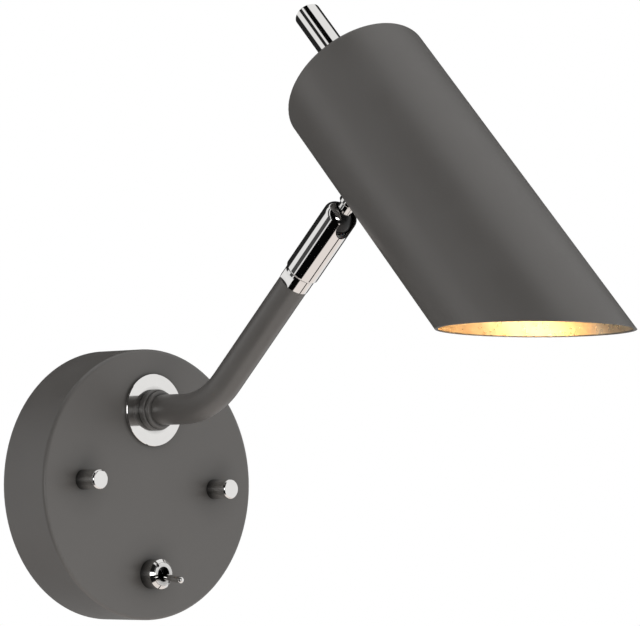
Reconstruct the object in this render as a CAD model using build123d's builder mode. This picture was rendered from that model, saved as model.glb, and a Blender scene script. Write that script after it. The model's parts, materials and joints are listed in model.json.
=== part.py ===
"""A bedside wall reading lamp: round wall box, bent arm, slotted swivel and a long tube shade.

Millimetres. The origin is the centre of the wall box's back, on the wall. +Z is up, the lamp
stands out from the wall along -Y, and +X is to the right of somebody facing the lamp.
Depths are distances out from the wall. Stations are distances along the rising part of the arm,
from the point where its straight runs would cross. Reaches are distances along the shade's axis,
from the point that is square to the arm.
"""

import os
from math import asin, cos, degrees, radians, sin, sqrt

from build123d import *

os.makedirs("parts", exist_ok=True)

# ---------------------------------------------------------------- driving dimensions
# wall box
box_radius = 60.0
box_depth = 28.0
sheet = 1.5
box_edge_radius = 1.6

# two cap nuts that hold the box to its bracket
stud_spacing = 76.0
stud_radius = 2.0
cap_nut_radius = 4.45
cap_nut_length = 12.0

# arm
arm_height = 33.0
arm_run = 38.0
arm_rise_angle = 45.0
tube_radius = 6.75
tube_wall = 1.2
bend_radius = 38.0
tube_end_station = 74.0
rosette_radius = 16.0
rosette_thickness = 1.5

# swivel between the arm and the shade
swivel_collar_radius = 6.9
swivel_radius = 7.6
swivel_foot_station = 80.3
swivel_length = 36.2
swivel_bore_radius = 6.6
swivel_dome_radius = 3.9
ball_station = 110.5
ball_radius = 6.3
stem_radius = 3.5
slot_width = 8.6
wire_bore_radius = 2.3

# shade
shade_station = 158.0
shade_radius = 33.0
shade_wall = 1.0
shade_back_reach = -35.0
shade_mouth_reach = 120.0
shade_edge_radius = 1.5
knob_radius = 5.85
knob_length = 46.0

# toggle switch
switch_x = 3.1
switch_height = -39.5
lever_pivot_depth = 27.5
lever_lean = 7.0
lever_length = 20.4
bushing_radius = 3.17
dress_nut_radius = 6.6
dress_nut_length = 8.2

# general fits
gap = 0.1
thread_gap = 0.05
running_gap = 0.06
through = 40.0
lead_radius = 0.9
lead_offset = 1.15

# ---------------------------------------------------------------- directions and planes
OUT = Vector(0, -1, 0)
RIGHT = Vector(1, 0, 0)
rise = Vector(0, -cos(radians(arm_rise_angle)), sin(radians(arm_rise_angle)))
beam = Vector(0, -sin(radians(arm_rise_angle)), -cos(radians(arm_rise_angle)))

face_depth = box_depth
inner_depth = box_depth - sheet
bend_corner = Vector(0, -(face_depth + arm_run), arm_height)
shade_foot = bend_corner + rise * shade_station
ball_centre = bend_corner + rise * ball_station
mouth_height = (shade_foot + beam * shade_mouth_reach).Z


def wall_plane(depth, x=0.0, z=0.0):
    """A plane parallel to the wall; its own x is world X, its own y is world Z."""
    return Plane(origin=(x, -depth, z), x_dir=RIGHT, z_dir=OUT)


def arm_plane(station):
    """A plane square to the rising arm; its own y points away from the beam."""
    return Plane(origin=bend_corner + rise * station, x_dir=RIGHT, z_dir=rise)


def shade_plane(reach):
    """A plane square to the shade's axis; its own y points away from the arm."""
    return Plane(origin=shade_foot + beam * reach, x_dir=RIGHT, z_dir=beam)


def turning_plane(foot, direction):
    """The plane of a turned outline: x is the radius, y runs along the axis."""
    return Plane(origin=foot, x_dir=RIGHT, z_dir=RIGHT.cross(direction))


arm_foot = Vector(0, 0, arm_height)
arm_root_axis = Axis(arm_foot, OUT)
arm_root_outline = turning_plane(arm_foot, OUT)
rise_axis = Axis(bend_corner, rise)
rise_outline = turning_plane(bend_corner, rise)
shade_axis = Axis(shade_foot, beam)
shade_outline = turning_plane(shade_foot, beam)
switch_foot = Vector(switch_x, 0, switch_height)
switch_axis = Axis(switch_foot, OUT)
switch_outline = turning_plane(switch_foot, OUT)


def save(piece, name):
    """Label a finished piece and write it as its own file."""
    piece.part.label = name
    export_step(piece.part, f"parts/{name}.step")


# ================================================================ wall box
arm_hole_radius = 5.6
stud_clearance = 0.2
switch_hole_radius = bushing_radius + 0.15
stud_places = [(-stud_spacing / 2, 0), (stud_spacing / 2, 0)]

with BuildPart() as wall_cover:
    with BuildSketch(wall_plane(0)):
        Circle(box_radius)
    extrude(amount=box_depth)
    front_edge = wall_cover.edges().sort_by(Axis.Y)[0]
    fillet(front_edge, radius=box_edge_radius)
    back_face = wall_cover.faces().sort_by(Axis.Y)[-1]
    offset(amount=-sheet, openings=back_face)
    with BuildSketch(wall_plane(0)):
        with Locations(*stud_places):
            Circle(stud_radius + stud_clearance)
        with Locations((0, arm_height)):
            Circle(arm_hole_radius)
        with Locations((switch_x, switch_height)):
            Circle(switch_hole_radius)
    extrude(amount=box_depth, mode=Mode.SUBTRACT)
save(wall_cover, "wall_cover")

# ---------------------------------------------------------------- bracket on the wall
bracket_thickness = 2.0
bracket_length = 104.0
bracket_height = 22.0
bracket_corner = 4.0
bracket_tab_width = 34.0
bracket_tab_top = 18.0
bracket_tab_bottom = -31.0
bracket_tab_corner = 3.0
wall_screw_spacing = 50.8
wall_slot_length = 12.0
wall_slot_width = 4.5
cable_hole_radius = 7.5
earth_place = (11.5, 13.0)
earth_screw_radius = 2.0
block_place = (0.0, -20.5)
block_screw_radius = 1.5

with BuildPart() as mounting_bracket:
    with BuildSketch(wall_plane(0)):
        RectangleRounded(bracket_length, bracket_height, radius=bracket_corner)
        with Locations((0, (bracket_tab_top + bracket_tab_bottom) / 2)):
            RectangleRounded(
                bracket_tab_width,
                bracket_tab_top - bracket_tab_bottom,
                radius=bracket_tab_corner,
            )
        with Locations((-wall_screw_spacing / 2, 0), (wall_screw_spacing / 2, 0)):
            SlotOverall(wall_slot_length, wall_slot_width, mode=Mode.SUBTRACT)
        with Locations(*stud_places):
            Circle(stud_radius, mode=Mode.SUBTRACT)
        with Locations(earth_place):
            Circle(earth_screw_radius, mode=Mode.SUBTRACT)
        with Locations(block_place):
            Circle(block_screw_radius, mode=Mode.SUBTRACT)
        Circle(cable_hole_radius, mode=Mode.SUBTRACT)
    extrude(amount=bracket_thickness)
save(mounting_bracket, "mounting_bracket")

# studs riveted into the bracket, and the long chrome cap nuts that the user undoes
stud_reach = 8.5
stud_collar_radius = 3.2
stud_collar_height = 1.5
cap_nut_edge = 1.1
cap_nut_bore_depth = 9.5

with BuildPart() as cover_studs:
    with BuildSketch(wall_plane(0)):
        with Locations(*stud_places):
            Circle(stud_radius)
    extrude(amount=face_depth + stud_reach)
    with BuildSketch(wall_plane(bracket_thickness)):
        with Locations(*stud_places):
            Circle(stud_collar_radius)
    extrude(amount=stud_collar_height)
save(cover_studs, "cover_studs")

with BuildPart() as cap_nuts:
    with BuildSketch(wall_plane(face_depth)):
        with Locations(*stud_places):
            Circle(cap_nut_radius)
    extrude(amount=cap_nut_length)
    fillet(cap_nuts.edges().group_by(Axis.Y)[0], radius=cap_nut_edge)
    with BuildSketch(wall_plane(face_depth)):
        with Locations(*stud_places):
            Circle(stud_radius + thread_gap)
    extrude(amount=cap_nut_bore_depth, mode=Mode.SUBTRACT)
save(cap_nuts, "cap_nuts")

# ---------------------------------------------------------------- mains terminals
block_width = 27.0
block_height = 14.0
block_depth = 13.0
block_corner = 1.0
block_base = bracket_thickness
block_well_radius = 3.1
block_well_floor = 3.0
pole_offset = 9.2
pole_bore_radius = 1.9
pole_bore_depth = 6.25
pole_axis_depth = block_base + 7.0
pole_screw_offset = 3.6
pole_screw_places = [
    (side * pole_offset, end * pole_screw_offset) for side in (-1, 1) for end in (-1, 1)
]
pole_screw_radius = 1.5
pole_screw_length = 3.4
pole_screw_slot = 0.5
pole_screw_slot_depth = 0.8
pole_screw_foot = pole_axis_depth + pole_bore_radius

with BuildPart() as terminal_block:
    with BuildSketch(wall_plane(block_base, *block_place)):
        RectangleRounded(block_width, block_height, radius=block_corner)
    extrude(amount=block_depth)
    with BuildSketch(wall_plane(block_base, *block_place)):
        Circle(block_screw_radius + gap)
    extrude(amount=block_depth, mode=Mode.SUBTRACT)
    with BuildSketch(wall_plane(block_base + block_well_floor, *block_place)):
        Circle(block_well_radius)
    extrude(amount=block_depth, mode=Mode.SUBTRACT)
    for end in (-1, 1):
        mouth = Plane(
            origin=(0, -pole_axis_depth, block_place[1] + end * block_height / 2),
            x_dir=RIGHT,
            z_dir=(0, 0, end),
        )
        with BuildSketch(mouth):
            with Locations((-pole_offset, 0), (pole_offset, 0)):
                Circle(pole_bore_radius)
        extrude(amount=-pole_bore_depth, mode=Mode.SUBTRACT)
    with BuildSketch(wall_plane(pole_axis_depth, *block_place)):
        with Locations(*pole_screw_places):
            Circle(pole_screw_radius + gap)
    extrude(amount=block_depth, mode=Mode.SUBTRACT)
save(terminal_block, "terminal_block")

with BuildPart() as terminal_screws:
    with BuildSketch(wall_plane(pole_screw_foot, *block_place)):
        with Locations(*pole_screw_places):
            Circle(pole_screw_radius)
    extrude(amount=pole_screw_length)
    with BuildSketch(wall_plane(pole_screw_foot + pole_screw_length, *block_place)):
        with Locations(*pole_screw_places):
            Rectangle(2 * pole_screw_radius, pole_screw_slot)
    extrude(amount=-pole_screw_slot_depth, mode=Mode.SUBTRACT)
save(terminal_screws, "terminal_screws")

block_screw_head_radius = 2.8
block_screw_head_height = 1.8
block_screw_slot = 0.7
block_screw_slot_depth = 0.8
block_screw_seat = block_base + block_well_floor

with BuildPart() as block_screw:
    with BuildSketch(wall_plane(0, *block_place)):
        Circle(block_screw_radius)
    extrude(amount=block_screw_seat)
    with BuildSketch(wall_plane(block_screw_seat, *block_place)):
        Circle(block_screw_head_radius)
    extrude(amount=block_screw_head_height)
    with BuildSketch(wall_plane(block_screw_seat + block_screw_head_height, *block_place)):
        Rectangle(2 * block_screw_head_radius, block_screw_slot)
    extrude(amount=-block_screw_slot_depth, mode=Mode.SUBTRACT)
save(block_screw, "block_screw")

earth_washer_radius = 4.3
earth_washer_height = 1.4
earth_head_radius = 3.8
earth_head_height = 2.2
earth_screw_slot = 0.9
earth_screw_slot_depth = 1.0
earth_seat = bracket_thickness + earth_washer_height

with BuildPart() as earth_screw:
    with BuildSketch(wall_plane(0, *earth_place)):
        Circle(earth_screw_radius)
    extrude(amount=earth_seat)
    with BuildSketch(wall_plane(earth_seat, *earth_place)):
        Circle(earth_head_radius)
    extrude(amount=earth_head_height)
    with BuildSketch(wall_plane(earth_seat + earth_head_height, *earth_place)):
        Rectangle(2 * earth_head_radius, earth_screw_slot)
    extrude(amount=-earth_screw_slot_depth, mode=Mode.SUBTRACT)
save(earth_screw, "earth_screw")

with BuildPart() as earth_washer:
    with BuildSketch(wall_plane(bracket_thickness, *earth_place)):
        Circle(earth_washer_radius)
        Circle(earth_screw_radius + gap, mode=Mode.SUBTRACT)
    extrude(amount=earth_washer_height)
save(earth_washer, "earth_washer")

# ================================================================ toggle switch
switch_half_width = 4.0
switch_half_height = 6.5
switch_frame_depth = 24.0
switch_frame_thickness = 0.8
switch_rear_depth = 13.0
switch_shell_wall = 0.8
switch_floor = 1.2
bushing_front_depth = 32.0
bushing_mouth_radius = 2.7
lever_ball_radius = 2.1
lever_socket_radius = lever_ball_radius + 0.15
frame_back_depth = switch_frame_depth - switch_frame_thickness

with BuildPart() as switch_bushing:
    with BuildSketch(switch_outline):
        with BuildLine():
            Polyline(
                (lever_socket_radius, frame_back_depth),
                (bushing_radius, frame_back_depth),
                (bushing_radius, bushing_front_depth),
                (bushing_mouth_radius, bushing_front_depth),
                (lever_socket_radius, lever_pivot_depth + 1),
                close=True,
            )
        make_face()
    revolve(axis=switch_axis)
    with BuildSketch(wall_plane(frame_back_depth, switch_x, switch_height)):
        Rectangle(2 * switch_half_width, 2 * switch_half_height)
        Circle(lever_socket_radius, mode=Mode.SUBTRACT)
    extrude(amount=switch_frame_thickness)
save(switch_bushing, "switch_bushing")

terminal_spacing = 4.7
terminal_places = [(0, 0), (0, terminal_spacing)]
terminal_width = 2.0
terminal_thickness = 0.8
shell_floor_depth = switch_rear_depth + switch_floor

with BuildPart() as switch_body:
    with BuildSketch(wall_plane(switch_rear_depth, switch_x, switch_height)):
        Rectangle(2 * switch_half_width, 2 * switch_half_height)
    extrude(amount=frame_back_depth - switch_rear_depth)
    with BuildSketch(wall_plane(shell_floor_depth, switch_x, switch_height)):
        Rectangle(
            2 * (switch_half_width - switch_shell_wall),
            2 * (switch_half_height - switch_shell_wall),
        )
    extrude(amount=through, mode=Mode.SUBTRACT)
    with BuildSketch(wall_plane(switch_rear_depth, switch_x, switch_height)):
        with Locations(*terminal_places):
            Rectangle(terminal_width, terminal_thickness)
    extrude(amount=switch_floor, mode=Mode.SUBTRACT)
save(switch_body, "switch_body")

terminal_tip_depth = 7.5
contact_width = 3.0
contact_height = 1.6
contact_depth = 14.9
common_contact_depth = 15.6

with BuildPart() as switch_terminals:
    with BuildSketch(wall_plane(terminal_tip_depth, switch_x, switch_height)):
        with Locations(*terminal_places):
            Rectangle(terminal_width, terminal_thickness)
    extrude(amount=shell_floor_depth - terminal_tip_depth)
    with BuildSketch(wall_plane(shell_floor_depth, switch_x, switch_height)):
        with Locations(terminal_places[0]):
            Rectangle(contact_width, contact_height)
    extrude(amount=common_contact_depth - shell_floor_depth)
    with BuildSketch(wall_plane(shell_floor_depth, switch_x, switch_height)):
        with Locations(terminal_places[1]):
            Rectangle(contact_width, contact_height)
    extrude(amount=contact_depth - shell_floor_depth)
save(switch_terminals, "switch_terminals")

inner_nut_flat = 4.0

with BuildPart() as switch_inner_nut:
    with BuildSketch(wall_plane(switch_frame_depth + gap, switch_x, switch_height)):
        RegularPolygon(radius=inner_nut_flat, side_count=6, major_radius=False)
        Circle(bushing_radius + thread_gap, mode=Mode.SUBTRACT)
    extrude(amount=inner_depth - switch_frame_depth - gap)
save(switch_inner_nut, "switch_inner_nut")

dress_ring_radius = 5.1
dress_ring_height = 0.3
dress_bore_radius = bushing_radius + thread_gap
dress_mouth_radius = 3.35
dress_shoulder_slope = 1.2
dress_shoulder_flat = 0.2
dress_edge = 0.15
dress_slot_angle = 134.0
dress_slot_width = 1.2
dress_slot_depth = 0.8
dress_slot_end_radius = 4.3
dress_front = face_depth + dress_nut_length
dress_shoulder = dress_front - dress_ring_height
dress_thread_end = bushing_front_depth + 0.6

with BuildPart() as switch_dress_nut:
    with BuildSketch(switch_outline):
        with BuildLine():
            Polyline(
                (dress_bore_radius, face_depth),
                (dress_nut_radius, face_depth),
                (dress_nut_radius, dress_shoulder - dress_shoulder_slope),
                (dress_ring_radius + dress_shoulder_flat, dress_shoulder),
                (dress_ring_radius, dress_shoulder),
                (dress_ring_radius, dress_front - dress_edge),
                (dress_ring_radius - dress_edge, dress_front),
                (dress_mouth_radius, dress_front),
                (dress_mouth_radius, dress_thread_end),
                (dress_bore_radius, dress_thread_end),
                close=True,
            )
        make_face()
    revolve(axis=switch_axis)
    with BuildSketch(wall_plane(dress_front, switch_x, switch_height)):
        with Locations(Rotation(0, 0, dress_slot_angle)):
            Rectangle(2 * dress_nut_radius, dress_slot_width)
        Circle(dress_slot_end_radius, mode=Mode.SUBTRACT)
    extrude(amount=-dress_slot_depth, mode=Mode.SUBTRACT)
save(switch_dress_nut, "switch_dress_nut")

# lever: thin shank, swelling grip and a round tip, leaning down in the ON position
lever_pivot = Vector(switch_x, -lever_pivot_depth, switch_height)
lever_direction = Vector(0, -cos(radians(lever_lean)), -sin(radians(lever_lean)))
lever_outline = turning_plane(lever_pivot, lever_direction)
lever_grip_radius = 1.5
lever_shank_radius = 1.1
lever_step_start = 9.6
lever_step_end = 10.8
lever_tail = 10.9
lever_tail_radius = 0.8
lever_tail_point_radius = 0.48
lever_tail_point = 0.4
ball_shank_height = sqrt(lever_ball_radius**2 - lever_shank_radius**2)
ball_tail_height = sqrt(lever_ball_radius**2 - lever_tail_radius**2)
tip_bulge = lever_grip_radius * sin(radians(45))

with BuildPart() as toggle_lever:
    with BuildSketch(lever_outline):
        with BuildLine():
            tail = Line((0, -lever_tail), (lever_tail_point_radius, -lever_tail))
            tail_corner = Line(tail @ 1, (lever_tail_radius, lever_tail_point - lever_tail))
            tail_side = Line(tail_corner @ 1, (lever_tail_radius, -ball_tail_height))
            ball = ThreePointArc(
                tail_side @ 1,
                (lever_ball_radius, 0),
                (lever_shank_radius, ball_shank_height),
            )
            shank = Line(ball @ 1, (lever_shank_radius, lever_step_start))
            step = Line(shank @ 1, (lever_grip_radius, lever_step_end))
            grip = Line(step @ 1, (lever_grip_radius, lever_length))
            tip = ThreePointArc(
                grip @ 1,
                (tip_bulge, lever_length + tip_bulge),
                (0, lever_length + lever_grip_radius),
            )
            Line(tip @ 1, tail @ 0)
        make_face()
    revolve(axis=Axis(lever_pivot, lever_direction))
save(toggle_lever, "toggle_lever")

# rocker: the see-saw contact that the lever's tail tips onto the upper terminal
rocker_pivot_depth = 16.05
rocker_tilt = 9.0
rocker_half_length = 5.0
rocker_half_width = 1.5
rocker_thickness = 0.6
rocker_up = Vector(0, sin(radians(rocker_tilt)), cos(radians(rocker_tilt)))
rocker_plane = Plane(
    origin=(switch_x, -rocker_pivot_depth, switch_height),
    x_dir=rocker_up,
    z_dir=RIGHT,
)

with BuildPart() as switch_rocker:
    with BuildSketch(rocker_plane):
        Rectangle(2 * rocker_half_length, rocker_thickness)
    extrude(amount=rocker_half_width, both=True)
save(switch_rocker, "switch_rocker")

# ================================================================ arm root
rosette_front = face_depth + rosette_thickness
rosette_edge = 0.15

with BuildPart() as rosette:
    with BuildSketch(wall_plane(face_depth, z=arm_height)):
        Circle(rosette_radius)
        Circle(arm_hole_radius, mode=Mode.SUBTRACT)
    extrude(amount=rosette_thickness)
    outer_front = rosette.edges().group_by(Axis.Y)[0].sort_by(SortBy.RADIUS)[-1]
    chamfer(outer_front, length=rosette_edge)
save(rosette, "rosette")

nipple_radius = 4.0
nipple_bore_radius = 2.9
nipple_tail_depth = 15.0
nipple_front_depth = 39.0
nipple_edge = 0.3
bush_flange_radius = 9.0
bush_flange = 1.5
bush_back_depth = inner_depth - bush_flange

with BuildPart() as arm_bush:
    with BuildSketch(wall_plane(bush_back_depth, z=arm_height)):
        Circle(bush_flange_radius)
        Circle(nipple_radius + running_gap, mode=Mode.SUBTRACT)
    extrude(amount=bush_flange)
    with BuildSketch(wall_plane(bush_back_depth, z=arm_height)):
        Circle(arm_hole_radius - gap)
        Circle(nipple_radius + running_gap, mode=Mode.SUBTRACT)
    extrude(amount=rosette_front - gap - bush_back_depth)
save(arm_bush, "arm_bush")

stop_pin_radius = 1.5
stop_pin_length = 7.5
stop_radius = 13.5

with BuildPart() as arm_stop_pin:
    with BuildSketch(wall_plane(inner_depth, z=arm_height + stop_radius)):
        Circle(stop_pin_radius)
    extrude(amount=-stop_pin_length)
save(arm_stop_pin, "arm_stop_pin")

with BuildPart() as arm_nipple:
    with BuildSketch(wall_plane(nipple_tail_depth, z=arm_height)):
        Circle(nipple_radius)
        Circle(nipple_bore_radius, mode=Mode.SUBTRACT)
    extrude(amount=nipple_front_depth - nipple_tail_depth)
    chamfer(arm_nipple.edges().group_by(Axis.Y)[-1], length=nipple_edge)
save(arm_nipple, "arm_nipple")

washer_front = bush_back_depth - gap
wave_washer_radius = 8.0
wave_washer_thickness = 0.5
wave_washer_height = 0.9

with BuildPart() as arm_spring_washer:
    with BuildSketch(arm_root_outline):
        with BuildLine():
            Polyline(
                (nipple_radius + gap, washer_front - wave_washer_thickness),
                (wave_washer_radius, washer_front - wave_washer_height),
                (wave_washer_radius, washer_front - wave_washer_height + wave_washer_thickness),
                (nipple_radius + gap, washer_front),
                close=True,
            )
        make_face()
    revolve(axis=arm_root_axis)
save(arm_spring_washer, "arm_spring_washer")

stop_washer_front = washer_front - wave_washer_height - gap
stop_washer_radius = 8.5
stop_washer_thickness = 1.5
stop_finger_width = 4.0
stop_finger_end = 15.5

with BuildPart() as arm_stop_washer:
    with BuildSketch(wall_plane(stop_washer_front - stop_washer_thickness, z=arm_height)):
        Circle(stop_washer_radius)
        with Locations((0, -stop_finger_end / 2)):
            Rectangle(stop_finger_width, stop_finger_end)
        Circle(nipple_radius + thread_gap, mode=Mode.SUBTRACT)
    extrude(amount=stop_washer_thickness)
save(arm_stop_washer, "arm_stop_washer")

lock_nut_front = stop_washer_front - stop_washer_thickness - gap
lock_nut_height = 4.5
lock_nut_flat = 6.5

with BuildPart() as arm_lock_nut:
    with BuildSketch(wall_plane(lock_nut_front - lock_nut_height, z=arm_height)):
        RegularPolygon(radius=lock_nut_flat, side_count=6, major_radius=False)
        Circle(nipple_radius + thread_gap, mode=Mode.SUBTRACT)
    extrude(amount=lock_nut_height)
save(arm_lock_nut, "arm_lock_nut")

# stepped collar: a wide rounded ring, a fine groove, and a smaller rounded ring
collar_back = rosette_front + gap
collar_wide_radius = 9.15
collar_narrow_radius = 8.4
collar_wide = 3.0
collar_wide_round = 0.6
collar_groove = 0.4
collar_groove_depth = 0.6
collar_narrow = 1.9
collar_narrow_round = 1.1

with BuildPart() as arm_collar:
    with BuildSketch(wall_plane(collar_back, z=arm_height)):
        Circle(collar_wide_radius)
    extrude(amount=collar_wide)
    fillet(arm_collar.edges().sort_by(Axis.Y)[0], radius=collar_wide_round)
    with BuildSketch(wall_plane(collar_back + collar_wide, z=arm_height)):
        Circle(collar_narrow_radius - collar_groove_depth)
    extrude(amount=collar_groove)
    with BuildSketch(wall_plane(collar_back + collar_wide + collar_groove, z=arm_height)):
        Circle(collar_narrow_radius)
    extrude(amount=collar_narrow)
    fillet(arm_collar.edges().sort_by(Axis.Y)[0], radius=collar_narrow_round)
    with BuildSketch(wall_plane(collar_back, z=arm_height)):
        Circle(tube_radius + thread_gap)
    extrude(amount=through, mode=Mode.SUBTRACT)
save(arm_collar, "arm_collar")

tube_bore_radius = tube_radius - tube_wall
tube_bush_back = collar_back + 0.3
tube_bush_length = 10.0

with BuildPart() as tube_bush:
    with BuildSketch(wall_plane(tube_bush_back, z=arm_height)):
        Circle(tube_bore_radius - thread_gap)
        Circle(nipple_radius + thread_gap, mode=Mode.SUBTRACT)
    extrude(amount=tube_bush_length)
save(tube_bush, "tube_bush")

# ================================================================ arm tube
tube_start = Vector(0, -(collar_back + 0.2), arm_height)
tube_end = bend_corner + rise * tube_end_station

with BuildPart() as arm_tube:
    with BuildLine():
        FilletPolyline(tube_start, bend_corner, tube_end, radius=bend_radius)
    with BuildSketch(Plane(origin=tube_start, x_dir=RIGHT, z_dir=OUT)):
        Circle(tube_radius)
        Circle(tube_bore_radius, mode=Mode.SUBTRACT)
    sweep()
save(arm_tube, "arm_tube")

# ================================================================ swivel
swivel_bolt_radius = 3.2
collar_top_station = swivel_foot_station - gap
spigot_length = 10.0
spigot_bore_radius = wire_bore_radius + 0.3
collar_flat_offset = 5.9
collar_flat_depth = 4.0
collar_flange = 1.2
stop_track_radius = 4.65
stop_peg_radius = 0.55
stop_peg_socket = 2.2
stop_track_half_width = 0.65
stop_track_depth = 2.3
head_turn = 80.0
track_half_angle = head_turn + 10.0
bolt_foot_station = tube_end_station - 1.8

with BuildPart() as knuckle_collar:
    with BuildSketch(arm_plane(tube_end_station)):
        Circle(swivel_collar_radius)
    extrude(amount=collar_top_station - tube_end_station)
    with BuildSketch(arm_plane(tube_end_station)):
        with Locations(
            (-collar_flat_offset - collar_flat_depth / 2, 0),
            (collar_flat_offset + collar_flat_depth / 2, 0),
        ):
            Rectangle(collar_flat_depth, 2 * swivel_collar_radius)
    extrude(amount=collar_top_station - tube_end_station - collar_flange, mode=Mode.SUBTRACT)
    with BuildSketch(arm_plane(tube_end_station - spigot_length)):
        Circle(tube_bore_radius - thread_gap)
    extrude(amount=spigot_length)
    with BuildSketch(arm_plane(tube_end_station - spigot_length)):
        Circle(spigot_bore_radius)
    extrude(amount=through, mode=Mode.SUBTRACT)
    with BuildSketch(arm_plane(bolt_foot_station - gap)):
        Circle(swivel_bolt_radius + thread_gap)
    extrude(amount=through, mode=Mode.SUBTRACT)
    with BuildSketch(arm_plane(collar_top_station)):
        with BuildLine():
            outer_arc = CenterArc(
                (0, 0),
                stop_track_radius + stop_track_half_width,
                90 - track_half_angle,
                2 * track_half_angle,
            )
            inner_arc = CenterArc(
                (0, 0),
                stop_track_radius - stop_track_half_width,
                90 - track_half_angle,
                2 * track_half_angle,
            )
            Line(outer_arc @ 0, inner_arc @ 0)
            Line(outer_arc @ 1, inner_arc @ 1)
        make_face()
    extrude(amount=-stop_track_depth, mode=Mode.SUBTRACT)
save(knuckle_collar, "knuckle_collar")

plug_top_station = 88.0
plug_floor_station = 84.0
bolt_head_station = 84.7
bolt_head_radius = 4.9
bolt_head_height = 2.4
bolt_slot_width = 1.4
bolt_slot_depth = 1.2
bolt_top_station = bolt_head_station + bolt_head_height

with BuildPart() as swivel_bolt:
    with BuildSketch(arm_plane(bolt_foot_station)):
        Circle(swivel_bolt_radius)
    extrude(amount=bolt_head_station - bolt_foot_station)
    with BuildSketch(arm_plane(bolt_head_station)):
        Circle(bolt_head_radius)
    extrude(amount=bolt_head_height)
    with BuildSketch(arm_plane(bolt_top_station)):
        Rectangle(2 * bolt_head_radius, bolt_slot_width)
    extrude(amount=-bolt_slot_depth, mode=Mode.SUBTRACT)
    with BuildSketch(arm_plane(bolt_foot_station)):
        Circle(wire_bore_radius)
    extrude(amount=through, mode=Mode.SUBTRACT)
save(swivel_bolt, "swivel_bolt")

# body: a polished cup with a domed end, and a slot down the side that faces the beam
swivel_foot_edge = 0.9
slot_length = 20.0
slot_half_width = slot_width / 2
dome_top_station = swivel_foot_station + swivel_length
seat_rise = sqrt(swivel_bore_radius**2 - slot_half_width**2)
seat_angle = degrees(asin(seat_rise / swivel_bore_radius))

with BuildPart() as knuckle_body:
    with BuildSketch(arm_plane(swivel_foot_station)):
        Circle(swivel_radius)
    extrude(amount=swivel_length)
    ends = knuckle_body.edges().group_by(Axis((0, 0, 0), rise))
    fillet(ends[0], radius=swivel_foot_edge)
    fillet(ends[-1], radius=swivel_dome_radius)
    with BuildSketch(rise_outline):
        with BuildLine():
            foot = Line((0, swivel_foot_station), (swivel_bore_radius, swivel_foot_station))
            Line(foot @ 1, (swivel_bore_radius, ball_station))
            cup = CenterArc((0, ball_station), swivel_bore_radius, 0, seat_angle)
            mouth_side = Line(cup @ 1, (slot_half_width, dome_top_station))
            mouth_top = Line(mouth_side @ 1, (0, dome_top_station))
            Line(mouth_top @ 1, foot @ 0)
        make_face()
    revolve(axis=rise_axis, mode=Mode.SUBTRACT)
    with BuildSketch(Plane(origin=ball_centre, x_dir=RIGHT, z_dir=beam)):
        Circle(slot_half_width)
        with Locations((0, slot_length / 2)):
            Rectangle(slot_width, slot_length)
    extrude(amount=2 * swivel_radius, mode=Mode.SUBTRACT)
save(knuckle_body, "knuckle_body")

plug_well_radius = bolt_head_radius + 0.3
peg_foot_station = collar_top_station - stop_track_depth + 0.3
peg_top_station = swivel_foot_station + stop_peg_socket

with BuildPart() as knuckle_plug:
    with BuildSketch(arm_plane(swivel_foot_station + gap)):
        Circle(swivel_bore_radius - thread_gap)
        Circle(swivel_bolt_radius + running_gap, mode=Mode.SUBTRACT)
    extrude(amount=plug_top_station - swivel_foot_station - gap)
    with BuildSketch(arm_plane(plug_floor_station)):
        Circle(plug_well_radius)
    extrude(amount=through, mode=Mode.SUBTRACT)
    with BuildSketch(arm_plane(swivel_foot_station)):
        with Locations((0, stop_track_radius)):
            Circle(stop_peg_radius)
    extrude(amount=stop_peg_socket, mode=Mode.SUBTRACT)
save(knuckle_plug, "knuckle_plug")

with BuildPart() as swivel_stop_peg:
    with BuildSketch(arm_plane(peg_foot_station)):
        with Locations((0, stop_track_radius)):
            Circle(stop_peg_radius)
    extrude(amount=peg_top_station - peg_foot_station)
save(swivel_stop_peg, "swivel_stop_peg")

with BuildPart() as swivel_washer:
    with BuildSketch(arm_plane(plug_floor_station)):
        Circle(bolt_head_radius - gap)
        Circle(swivel_bolt_radius + gap, mode=Mode.SUBTRACT)
    extrude(amount=bolt_head_station - plug_floor_station - gap)
save(swivel_washer, "swivel_washer")

# disc springs in opposed pairs, pressing the seat against the ball
disc_spring_count = 6
disc_spring_thickness = 0.6
disc_spring_cone = 0.5
disc_spring_pitch = disc_spring_thickness + disc_spring_cone + 0.03
disc_spring_inner_radius = 3.2
disc_spring_outer_radius = 6.3

with BuildPart() as disc_springs:
    for index in range(disc_spring_count):
        foot_station = plug_top_station + thread_gap + index * disc_spring_pitch
        facing_up = index % 2 == 0
        inner_foot = foot_station + (disc_spring_cone if facing_up else 0)
        outer_foot = foot_station + (0 if facing_up else disc_spring_cone)
        with BuildSketch(rise_outline):
            with BuildLine():
                Polyline(
                    (disc_spring_inner_radius, inner_foot),
                    (disc_spring_outer_radius, outer_foot),
                    (disc_spring_outer_radius, outer_foot + disc_spring_thickness),
                    (disc_spring_inner_radius, inner_foot + disc_spring_thickness),
                    close=True,
                )
            make_face()
        revolve(axis=rise_axis)
save(disc_springs, "disc_springs")

seat_foot_station = plug_top_station + gap + disc_spring_count * disc_spring_pitch
seat_top_station = ball_station - slot_half_width
seat_bore_radius = wire_bore_radius + 0.5
seat_gap = 0.15

with BuildPart() as ball_seat:
    with BuildSketch(arm_plane(seat_foot_station)):
        Circle(swivel_bore_radius - gap)
        Circle(seat_bore_radius, mode=Mode.SUBTRACT)
    extrude(amount=seat_top_station - seat_foot_station)
    with Locations(ball_centre):
        Sphere(ball_radius + seat_gap, mode=Mode.SUBTRACT)
save(ball_seat, "ball_seat")

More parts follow.
